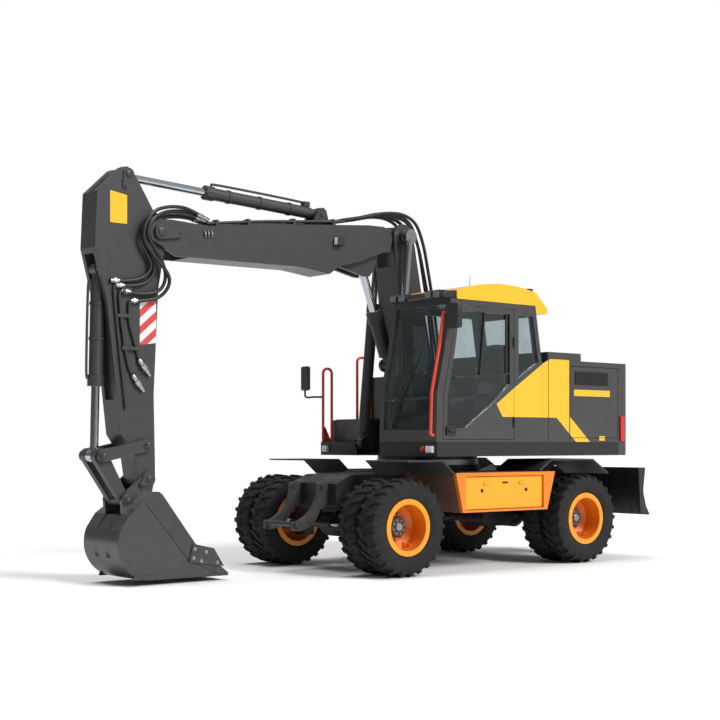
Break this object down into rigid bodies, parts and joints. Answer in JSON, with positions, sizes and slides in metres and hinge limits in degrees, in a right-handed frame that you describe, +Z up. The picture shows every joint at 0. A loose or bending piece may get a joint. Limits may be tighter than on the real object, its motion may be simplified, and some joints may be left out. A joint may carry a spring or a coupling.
{
  "type": "wheeled excavator",
  "caption": "Wheeled excavator with twin wheels, slewing upper body and cab, two-piece boom, arm with bucket, and a rear dozer blade",
  "frame": {"origin": "on the ground, at the middle of the machine's length and width as parked", "axes": "+X forward towards the bucket, +Y to the left where the cab is, +Z up"},
  "size_m": [6.988, 2.86, 4.175],
  "materials": {
    "charcoal_paint": "satin charcoal paint",
    "body_paint": "satin dark grey paint",
    "yellow_paint": "gloss warm yellow paint",
    "orange_paint": "gloss orange-yellow paint",
    "red_paint": "gloss red paint",
    "black_paint": "matte black paint",
    "worn_steel": "bare worn steel",
    "rod_chrome": "polished chrome",
    "tyre_rubber": "dusty tyre rubber",
    "window_glass": "clear tinted glass",
    "black_plastic": "grained black plastic",
    "lamp_plastic": "clear lamp lens",
    "amber_plastic": "amber lens",
    "seat_fabric": "dark woven cloth"
  },
  "bodies": {
    "chassis": {"carrier_frame": "black_paint", "slew_ring": "worn_steel", "front_axle": "black_paint", "rear_axle": "black_paint", "driveline": "black_paint", "fenders": "black_paint", "step_boxes": "orange_paint", "tool_holder": "black_paint", "holder_bar": "black_paint"},
    "locker_lid": {"locker_lid": "yellow_paint"},
    "left_knuckle": {"left_knuckle": "black_paint"},
    "right_knuckle": {"right_knuckle": "black_paint"},
    "steering_rod": {"steering_rod": "rod_chrome"},
    "blade": {"blade": "black_paint"},
    "blade_barrels": {"blade_barrels": "black_paint"},
    "blade_rods": {"blade_rods": "rod_chrome"},
    "upper_body": {"upper_frame": "black_paint", "counterweight": "body_paint", "body_panels": "body_paint", "engine": "black_paint", "right_tanks": "body_paint", "cab_shell": "yellow_paint", "cab_glass": "window_glass", "cab_roof": "yellow_paint", "seat_base": "black_plastic", "seat": "seat_fabric", "steering_column": "black_plastic", "handrails": "red_paint", "mirrors": "black_plastic", "lamps": "lamp_plastic", "beacon": "amber_plastic"},
    "left_service_door": {"left_service_door": "body_paint"},
    "right_service_door": {"right_service_door": "body_paint"},
    "engine_hood": {"engine_hood": "body_paint"},
    "cab_door": {"cab_door": "body_paint", "door_glass": "window_glass"},
    "base_boom": {"base_boom": "charcoal_paint"},
    "lift_barrels": {"lift_barrels": "charcoal_paint"},
    "lift_rods": {"lift_rods": "rod_chrome"},
    "upper_boom": {"upper_boom": "charcoal_paint"},
    "adjust_barrel": {"adjust_barrel": "black_paint"},
    "adjust_rod": {"adjust_rod": "rod_chrome"},
    "arm": {"arm": "charcoal_paint"},
    "arm_barrel": {"arm_barrel": "charcoal_paint"},
    "arm_rod": {"arm_rod": "rod_chrome"},
    "bucket_barrel": {"bucket_barrel": "charcoal_paint"},
    "bucket_rod": {"bucket_rod": "rod_chrome"},
    "guide_links": {"guide_links": "charcoal_paint"},
    "bucket_link": {"bucket_link": "charcoal_paint"},
    "bucket": {"bucket": "charcoal_paint"},
    "front_left_wheels": {"front_left_tyres": "tyre_rubber", "front_left_rims": "orange_paint"},
    "front_right_wheels": {"front_right_tyres": "tyre_rubber", "front_right_rims": "orange_paint"},
    "rear_left_wheels": {"rear_left_tyres": "tyre_rubber", "rear_left_rims": "orange_paint"},
    "rear_right_wheels": {"rear_right_tyres": "tyre_rubber", "rear_right_rims": "orange_paint"}
  },
  "joints": [
    {"name": "slew", "type": "hinge", "parent": "chassis", "child": "upper_body", "pos_m": [-0.929, 0, 1.2], "axis": [0, 0, 1], "continuous": true},
    {"name": "left_steer", "type": "hinge", "parent": "chassis", "child": "left_knuckle", "pos_m": [0.471, 0.6, 0.525], "axis": [0, 0, 1], "range_deg": [-30, 30]},
    {"name": "right_steer", "type": "hinge", "parent": "chassis", "child": "right_knuckle", "pos_m": [0.471, -0.6, 0.525], "axis": [0, 0, 1], "range_deg": [-30, 30]},
    {"name": "steering_rod_slide", "type": "slide", "parent": "chassis", "child": "steering_rod", "axis": [0, 1, 0], "range_m": [-0.108, 0.108]},
    {"name": "front_left_roll", "type": "hinge", "parent": "left_knuckle", "child": "front_left_wheels", "pos_m": [0.471, 0.97, 0.525], "axis": [0, 1, 0], "continuous": true},
    {"name": "front_right_roll", "type": "hinge", "parent": "right_knuckle", "child": "front_right_wheels", "pos_m": [0.471, -0.97, 0.525], "axis": [0, 1, 0], "continuous": true},
    {"name": "rear_left_roll", "type": "hinge", "parent": "chassis", "child": "rear_left_wheels", "pos_m": [-2.329, 0.97, 0.525], "axis": [0, 1, 0], "continuous": true},
    {"name": "rear_right_roll", "type": "hinge", "parent": "chassis", "child": "rear_right_wheels", "pos_m": [-2.329, -0.97, 0.525], "axis": [0, 1, 0], "continuous": true},
    {"name": "locker_lid_hinge", "type": "hinge", "parent": "chassis", "child": "locker_lid", "pos_m": [-0.979, 1.226, 0.686], "axis": [-1, 0, 0], "range_deg": [0, 95]},
    {"name": "blade_lift", "type": "hinge", "parent": "chassis", "child": "blade", "pos_m": [-2.509, 0, 0.72], "axis": [0, -1, 0], "range_deg": [0, 35]},
    {"name": "blade_barrel_pivot", "type": "hinge", "parent": "chassis", "child": "blade_barrels", "pos_m": [-2.629, 0, 0.96], "axis": [0, -1, 0], "range_deg": [0, 35.8]},
    {"name": "blade_rod_slide", "type": "slide", "parent": "blade_barrels", "child": "blade_rods", "axis": [-0.9889, 0, -0.1483], "range_m": [0, 0.162]},
    {"name": "left_service_hinge", "type": "hinge", "parent": "upper_body", "child": "left_service_door", "pos_m": [-2.06, 1.24, 1.9], "axis": [0, 0, 1], "range_deg": [-100, 0]},
    {"name": "right_service_hinge", "type": "hinge", "parent": "upper_body", "child": "right_service_door", "pos_m": [-2.06, -1.24, 1.9], "axis": [0, 0, 1], "range_deg": [0, 100]},
    {"name": "hood_hinge", "type": "hinge", "parent": "upper_body", "child": "engine_hood", "pos_m": [-2.34, 0, 2.38], "axis": [0, 1, 0], "range_deg": [0, 60]},
    {"name": "cab_door_hinge", "type": "hinge", "parent": "upper_body", "child": "cab_door", "pos_m": [-1.118, 1.24, 2.2], "axis": [0, 0, 1], "range_deg": [0, 165]},
    {"name": "boom_lift", "type": "hinge", "parent": "upper_body", "child": "base_boom", "pos_m": [-0.829, -0.13, 1.85], "axis": [0, -1, 0], "range_deg": [-58, 8]},
    {"name": "lift_barrel_pivot", "type": "hinge", "parent": "upper_body", "child": "lift_barrels", "pos_m": [-0.269, -0.13, 1.42], "axis": [0, -1, 0], "range_deg": [-51.1, 7.1]},
    {"name": "lift_rod_slide", "type": "slide", "parent": "lift_barrels", "child": "lift_rods", "axis": [-0.0999, 0, 0.995], "range_m": [-0.641, 0.089]},
    {"name": "boom_adjust", "type": "hinge", "parent": "base_boom", "child": "upper_boom", "pos_m": [-0.509, -0.13, 3.81], "axis": [0, -1, 0], "range_deg": [-20, 28]},
    {"name": "adjust_barrel_pivot", "type": "hinge", "parent": "base_boom", "child": "adjust_barrel", "pos_m": [-0.439, -0.13, 2.33], "axis": [0, -1, 0], "range_deg": [-3.6, 2.6]},
    {"name": "adjust_rod_slide", "type": "slide", "parent": "adjust_barrel", "child": "adjust_rod", "axis": [0.3549, 0, 0.9349], "range_m": [-0.201, 0.281]},
    {"name": "arm_swing", "type": "hinge", "parent": "upper_boom", "child": "arm", "pos_m": [2.771, -0.13, 3.55], "axis": [0, 1, 0], "range_deg": [-85, 15]},
    {"name": "arm_barrel_pivot", "type": "hinge", "parent": "upper_boom", "child": "arm_barrel", "pos_m": [0.625, -0.13, 3.981], "axis": [0, 1, 0], "range_deg": [-0.9, 0.2]},
    {"name": "arm_rod_slide", "type": "slide", "parent": "arm_barrel", "child": "arm_rod", "axis": [0.9989, 0, 0.0478], "range_m": [-0.866, 0.153]},
    {"name": "bucket_curl", "type": "hinge", "parent": "arm", "child": "bucket", "pos_m": [2.909, -0.13, 1.055], "axis": [0, 1, 0], "range_deg": [-60, 90]},
    {"name": "guide_pivot", "type": "hinge", "parent": "arm", "child": "guide_links", "pos_m": [2.921, -0.13, 1.394], "axis": [0, 1, 0], "range_deg": [-36.7, 55]},
    {"name": "bucket_link_pivot", "type": "hinge", "parent": "guide_links", "child": "bucket_link", "pos_m": [3.416, -0.13, 1.29], "axis": [0, 1, 0], "range_deg": [-28, 18.7]},
    {"name": "bucket_barrel_pivot", "type": "hinge", "parent": "arm", "child": "bucket_barrel", "pos_m": [3.371, -0.13, 3.15], "axis": [0, 1, 0], "range_deg": [-3.4, 5]},
    {"name": "bucket_rod_slide", "type": "slide", "parent": "bucket_barrel", "child": "bucket_rod", "axis": [0.0242, 0, -0.9997], "range_m": [-0.284, 0.425]}
  ],
  "couplings": [
    {"joint": "right_steer", "follows": "left_steer", "ratio": 1},
    {"joint": "steering_rod_slide", "follows": "left_steer", "m_per_rad": 0.2053},
    {"joint": "blade_barrel_pivot", "follows": "blade_lift", "ratio": 1.0202},
    {"joint": "blade_rod_slide", "follows": "blade_lift", "m_per_rad": 0.2639},
    {"joint": "lift_barrel_pivot", "follows": "boom_lift", "ratio": 0.8793},
    {"joint": "lift_rod_slide", "follows": "boom_lift", "m_per_rad": 0.6322},
    {"joint": "adjust_barrel_pivot", "follows": "boom_adjust", "ratio": -0.1239},
    {"joint": "adjust_rod_slide", "follows": "boom_adjust", "m_per_rad": 0.5727},
    {"joint": "arm_barrel_pivot", "follows": "arm_swing", "ratio": 0.01},
    {"joint": "arm_rod_slide", "follows": "arm_swing", "m_per_rad": 0.583},
    {"joint": "guide_pivot", "follows": "bucket_curl", "ratio": 0.61},
    {"joint": "bucket_link_pivot", "follows": "bucket_curl", "ratio": -0.31},
    {"joint": "bucket_barrel_pivot", "follows": "bucket_curl", "ratio": 0.0551},
    {"joint": "bucket_rod_slide", "follows": "bucket_curl", "m_per_rad": 0.2698}
  ]
}
